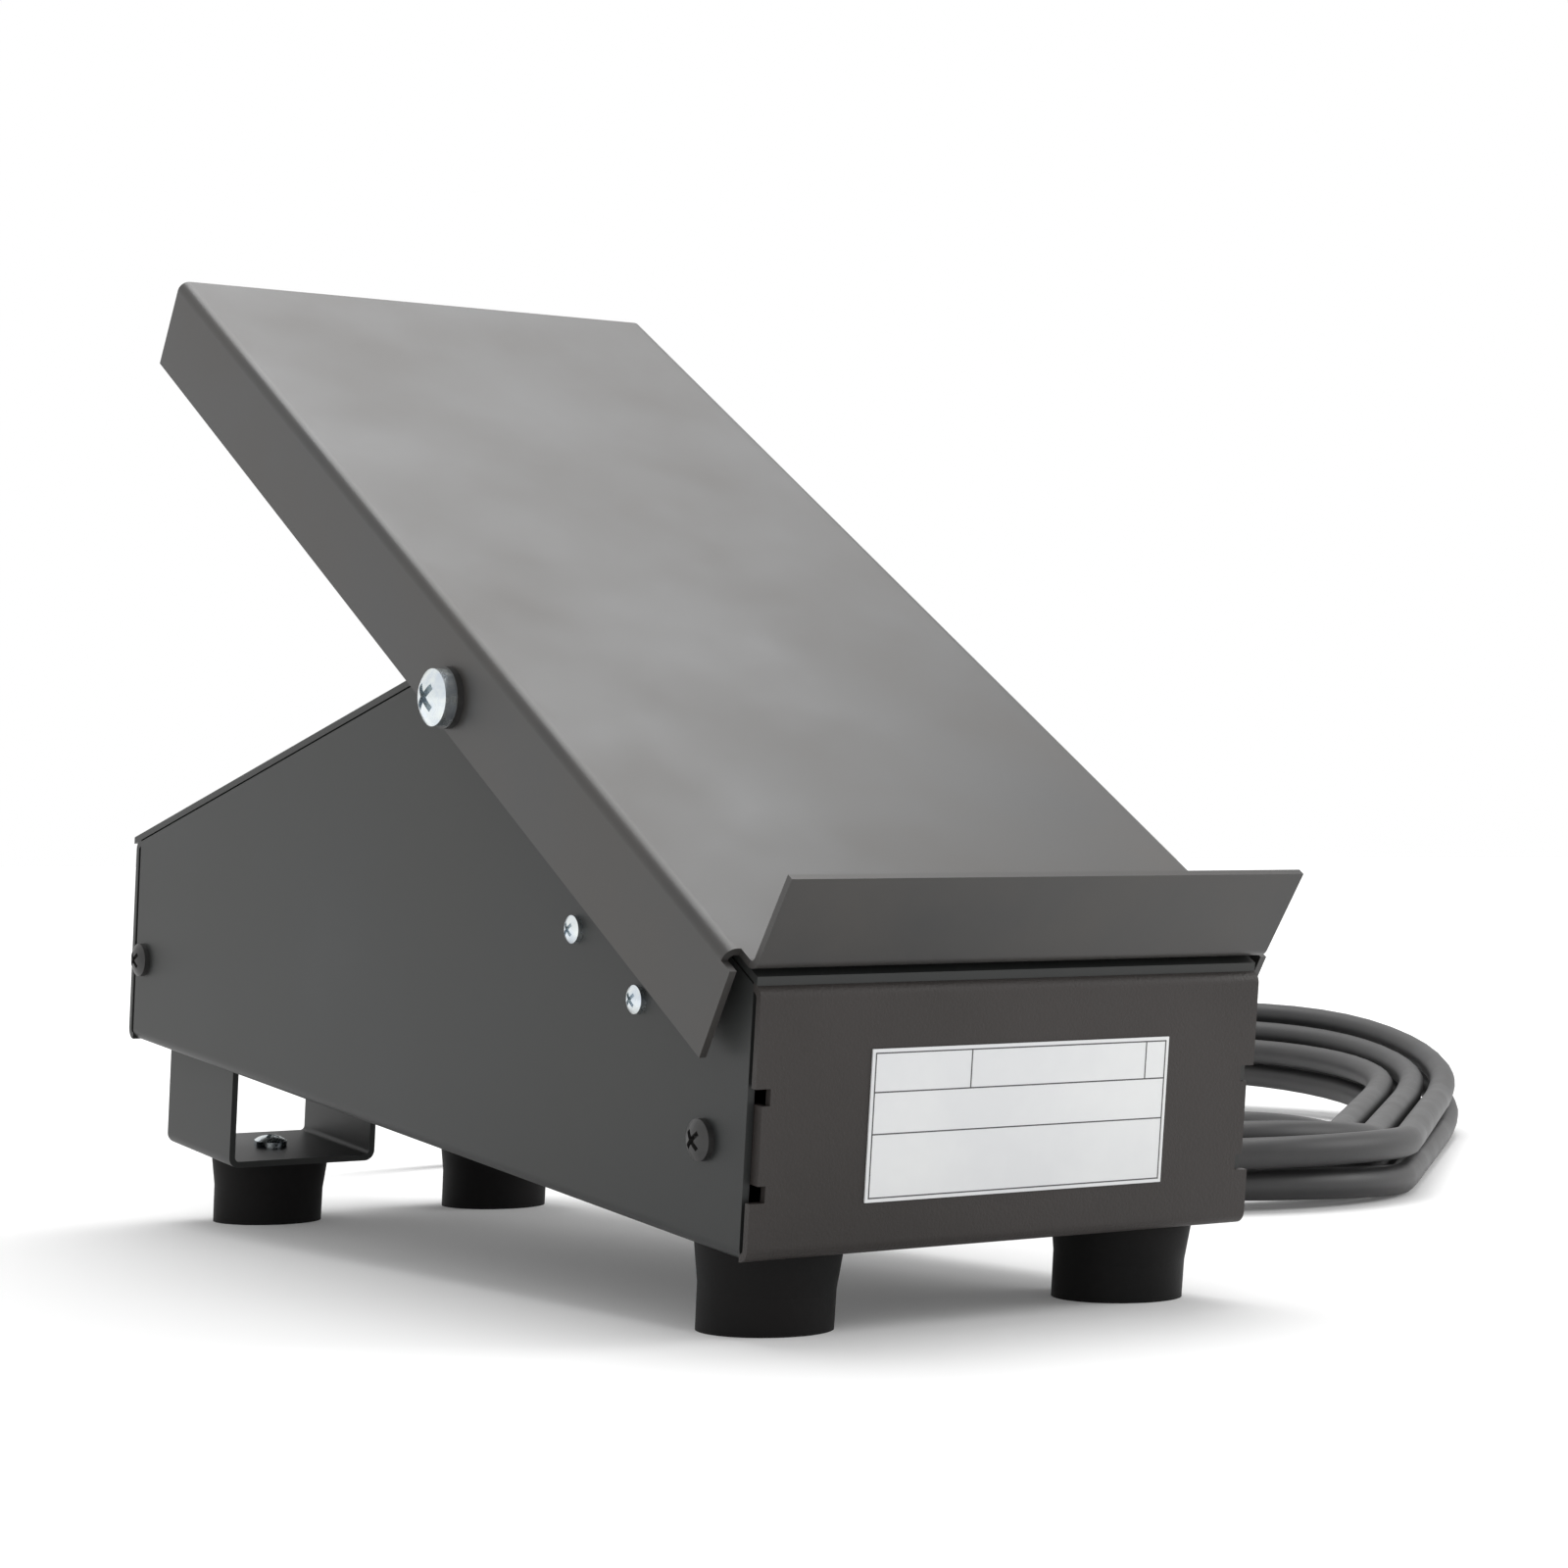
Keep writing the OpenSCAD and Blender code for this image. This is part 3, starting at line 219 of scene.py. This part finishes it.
def noise(tree, scale, detail, roughness):
    coords = tree.nodes.new("ShaderNodeTexCoord")
    node = tree.nodes.new("ShaderNodeTexNoise")
    node.inputs["Scale"].default_value = scale
    node.inputs["Detail"].default_value = detail
    node.inputs["Roughness"].default_value = roughness
    tree.links.new(coords.outputs["Object"], node.inputs["Vector"])
    return node.outputs["Fac"]


def ramp(tree, source, low, high, from_value, to_value):
    node = tree.nodes.new("ShaderNodeMapRange")
    node.inputs["From Min"].default_value = low
    node.inputs["From Max"].default_value = high
    node.inputs["To Min"].default_value = from_value
    node.inputs["To Max"].default_value = to_value
    tree.links.new(source, node.inputs["Value"])
    return node.outputs["Result"]


def mix_colour(tree, factor, first, second):
    node = tree.nodes.new("ShaderNodeMix")
    node.data_type = "RGBA"
    node.inputs[MIX_FIRST].default_value = (*first, 1)
    node.inputs[MIX_SECOND].default_value = (*second, 1)
    tree.links.new(factor, node.inputs[MIX_FACTOR])
    return node.outputs[MIX_RESULT]


def bump(tree, shader, source, strength, distance):
    node = tree.nodes.new("ShaderNodeBump")
    node.inputs["Strength"].default_value = strength
    node.inputs["Distance"].default_value = distance
    tree.links.new(source, node.inputs["Height"])
    tree.links.new(node.outputs["Normal"], shader.inputs["Normal"])


def surface(name, first, second, cloud, grain, grain_depth, rough, metallic=0.0, strength=0.5, specular=0.5):
    """A finish from two colours, the noise scales of cloud and grain, and the least and most roughness."""
    material, tree, shader = new_material(name)
    clouds = noise(tree, cloud, CLOUD_DETAIL, CLOUD_ROUGHNESS)
    fine = noise(tree, grain, GRAIN_DETAIL, GRAIN_ROUGHNESS)
    colour = mix_colour(tree, ramp(tree, clouds, *COLOUR_RANGE, 0, 1), first, second)
    tree.links.new(colour, shader.inputs["Base Color"])
    tree.links.new(ramp(tree, clouds, *GLOSS_RANGE, *rough), shader.inputs["Roughness"])
    shader.inputs["Metallic"].default_value = metallic
    shader.inputs["Specular IOR Level"].default_value = specular
    bump(tree, shader, fine, strength, grain_depth)
    return material


FINISHES = {
    "body_paint": dict(first=(0.02, 0.022, 0.022), second=(0.032, 0.033, 0.031), cloud=14, grain=2600,
                       grain_depth=0.00004, rough=(0.42, 0.5), specular=0.35),
    "treadle_paint": dict(first=(0.03, 0.03, 0.03), second=(0.05, 0.046, 0.042), cloud=20, grain=2200,
                          grain_depth=0.00002, rough=(0.33, 0.47)),
    "zinc": dict(first=(0.62, 0.68, 0.74), second=(0.78, 0.82, 0.8), cloud=300, grain=1500,
                 grain_depth=0.00003, rough=(0.2, 0.34), metallic=1.0),
    "black_metal": dict(first=(0.02, 0.02, 0.02), second=(0.035, 0.034, 0.033), cloud=200, grain=1800,
                        grain_depth=0.00003, rough=(0.32, 0.45)),
    "rubber": dict(first=(0.006, 0.006, 0.006), second=(0.011, 0.01, 0.01), cloud=60, grain=1400,
                   grain_depth=0.00008, rough=(0.6, 0.75), specular=0.15),
    "cable": dict(first=(0.02, 0.02, 0.021), second=(0.034, 0.033, 0.033), cloud=50, grain=1200,
                  grain_depth=0.00005, rough=(0.44, 0.56)),
    "black_plastic": dict(first=(0.02, 0.02, 0.021), second=(0.03, 0.03, 0.03), cloud=90, grain=1500,
                          grain_depth=0.00004, rough=(0.4, 0.5)),
    "nylon": dict(first=(0.66, 0.65, 0.6), second=(0.74, 0.73, 0.69), cloud=120, grain=900,
                  grain_depth=0.00002, rough=(0.45, 0.55)),
    "brass": dict(first=(0.68, 0.5, 0.22), second=(0.76, 0.6, 0.3), cloud=200, grain=1500,
                  grain_depth=0.00003, rough=(0.25, 0.4), metallic=1.0),
    "label": dict(first=(0.78, 0.79, 0.8), second=(0.84, 0.85, 0.85), cloud=40, grain=900,
                  grain_depth=0.00001, rough=(0.45, 0.5)),
    "heel_face_paint": dict(first=(0.026, 0.022, 0.02), second=(0.038, 0.033, 0.031), cloud=18, grain=1700,
                            grain_depth=0.00012, rough=(0.46, 0.56), strength=0.9, specular=0.35),
    "red_wire": dict(first=(0.35, 0.02, 0.02), second=(0.45, 0.04, 0.03), cloud=60, grain=900,
                     grain_depth=0.00002, rough=(0.4, 0.5)),
    "blue_wire": dict(first=(0.03, 0.06, 0.3), second=(0.05, 0.09, 0.4), cloud=60, grain=900,
                      grain_depth=0.00002, rough=(0.4, 0.5)),
    "ink": dict(first=(0.06, 0.06, 0.06), second=(0.09, 0.09, 0.09), cloud=200, grain=900,
                grain_depth=0.00001, rough=(0.5, 0.6)),
}
MATERIALS = {name: surface(name, **finish) for name, finish in FINISHES.items()}
# Nodes with a finish other than their slot's
OWN_FINISH = {"heel_panel": "heel_face_paint", "sensor_wires": "red_wire", "switch_wires": "blue_wire"}


def set_material(thing, material):
    thing.data.materials.clear()
    thing.data.materials.append(material)


for part in frame["record"]["subparts"]:
    finish = OWN_FINISH.get(part["node"], part["material_slot"])
    set_material(frame["nodes"][part["node"]], MATERIALS[finish])
set_material(cable, MATERIALS["cable"])

# Plain ruled lines on the blank label: a border, two rules and a divider in the head
LABEL_W, LABEL_H, LABEL_T = 71.6 * MM, 29 * MM, 0.3 * MM
LINE_T = 0.25 * MM
INK_LIFT = 0.04 * MM
BORDER_INSET = 0.8 * MM
HEAD_SHARE, FOOT_SHARE, DIVIDER_SHARE, END_SHARE = 0.27, 0.56, 0.32, 0.93


def add_label_lines():
    low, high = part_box("label_plate")
    centre = (low + high) / 2 - HOUSING_TOE * (LABEL_T / 2 + INK_LIFT / 2)
    half_w, half_h = LABEL_W / 2 - BORDER_INSET, LABEL_H / 2 - BORDER_INSET
    head, foot = half_h - 2 * half_h * HEAD_SHARE, half_h - 2 * half_h * FOOT_SHARE
    divider, end = -half_w + 2 * half_w * DIVIDER_SHARE, -half_w + 2 * half_w * END_SHARE
    lines = [((-half_w, half_h), (half_w, half_h)), ((-half_w, -half_h), (half_w, -half_h)),
             ((-half_w, -half_h), (-half_w, half_h)), ((half_w, -half_h), (half_w, half_h)),
             ((-half_w, head), (half_w, head)), ((-half_w, foot), (half_w, foot)),
             ((divider, head), (divider, half_h)), ((end, head), (end, half_h))]
    points, faces = [], []
    for (x0, z0), (x1, z1) in lines:
        first = len(points)
        for depth in (-INK_LIFT / 2, INK_LIFT / 2):
            for x, z in ((x0 - LINE_T / 2, z0 - LINE_T / 2), (x1 + LINE_T / 2, z0 - LINE_T / 2),
                         (x1 + LINE_T / 2, z1 + LINE_T / 2), (x0 - LINE_T / 2, z1 + LINE_T / 2)):
                points.append(centre + Vector((x, 0, 0)) + HOUSING_UP * z + HOUSING_TOE * depth)
        faces += [[first + k for k in face] for face in
                  ((0, 1, 2, 3), (7, 6, 5, 4), (0, 4, 5, 1), (1, 5, 6, 2), (2, 6, 7, 3), (3, 7, 4, 0))]
    mesh = bpy.data.meshes.new("label_lines")
    mesh.from_pydata(points, [], faces)
    lines_piece = bpy.data.objects.new("label_lines", mesh)
    bpy.context.scene.collection.objects.link(lines_piece)
    set_material(lines_piece, MATERIALS["ink"])
    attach(lines_piece, "housing")


add_label_lines()

# Floor, light and world
FLOOR_HALF = 20
FLOOR_GREY, FLOOR_ROUGHNESS, FLOOR_SPECULAR = 0.93, 0.9, 0.1
GLOW_REACH = (0.7, 2.5)
GLOW = (0.08, 0.6)
AMBIENT = 0.6
# Name, place, target, size in metres and power in watts of each softbox
SOFTBOXES = (("top_softbox", (0.3, 0.5, 1.9), (0, 0, 0.05), 1.6, 30),
             ("right_softbox", (1.5, -0.9, 0.9), (0, 0, 0.1), 0.9, 10))


def seen_rays(tree):
    """1 for rays from the camera, in gloss and through glass; 0 for rays that light the object."""
    path = tree.nodes.new("ShaderNodeLightPath")
    seen = path.outputs["Is Camera Ray"]
    for kind in ("Is Glossy Ray", "Is Transmission Ray"):
        both = tree.nodes.new("ShaderNodeMath")
        both.operation = "MAXIMUM"
        tree.links.new(seen, both.inputs[0])
        tree.links.new(path.outputs[kind], both.inputs[1])
        seen = both.outputs[0]
    return seen


def add_floor_glow(tree, shader):
    """The far floor looks as white as the world, and the near floor keeps its shadow."""
    coords = tree.nodes.new("ShaderNodeTexCoord")
    reach = tree.nodes.new("ShaderNodeVectorMath")
    reach.operation = "LENGTH"
    tree.links.new(coords.outputs["Object"], reach.inputs[0])
    glow = tree.nodes.new("ShaderNodeMath")
    glow.operation = "MULTIPLY"
    tree.links.new(ramp(tree, reach.outputs["Value"], *GLOW_REACH, *GLOW), glow.inputs[0])
    tree.links.new(seen_rays(tree), glow.inputs[1])
    shader.inputs["Emission Color"].default_value = (1, 1, 1, 1)
    tree.links.new(glow.outputs[0], shader.inputs["Emission Strength"])


def add_stage():
    mesh = bpy.data.meshes.new("floor")
    mesh.from_pydata([(x * FLOOR_HALF, y * FLOOR_HALF, 0) for x, y in ((-1, -1), (1, -1), (1, 1), (-1, 1))], [],
                     [(0, 1, 2, 3)])
    floor = bpy.data.objects.new("floor", mesh)
    bpy.context.scene.collection.objects.link(floor)
    material, tree, shader = new_material("floor")
    shader.inputs["Base Color"].default_value = (FLOOR_GREY, FLOOR_GREY, FLOOR_GREY, 1)
    shader.inputs["Roughness"].default_value = FLOOR_ROUGHNESS
    shader.inputs["Specular IOR Level"].default_value = FLOOR_SPECULAR
    add_floor_glow(tree, shader)
    set_material(floor, material)


def add_world():
    """White where it is seen, and dimmer as a light."""
    world = bpy.data.worlds.new("world")
    world.use_nodes = True
    tree = world.node_tree
    background = tree.nodes["Background"]
    background.inputs["Color"].default_value = (1, 1, 1, 1)
    strength = tree.nodes.new("ShaderNodeMath")
    strength.operation = "MULTIPLY_ADD"
    strength.inputs[1].default_value = 1 - AMBIENT
    strength.inputs[2].default_value = AMBIENT
    tree.links.new(seen_rays(tree), strength.inputs[0])
    tree.links.new(strength.outputs[0], background.inputs["Strength"])
    bpy.context.scene.world = world


def add_softbox(name, place, target, size, power):
    data = bpy.data.lights.new(name, "AREA")
    data.shape = "SQUARE"
    data.size = size
    data.energy = power
    light = bpy.data.objects.new(name, data)
    bpy.context.scene.collection.objects.link(light)
    light.location = place
    light.rotation_mode = "QUATERNION"
    light.rotation_quaternion = (Vector(target) - Vector(place)).to_track_quat("-Z", "Y")


add_stage()
add_world()
for softbox in SOFTBOXES:
    add_softbox(*softbox)
bpy.context.scene.view_settings.view_transform = "Standard"
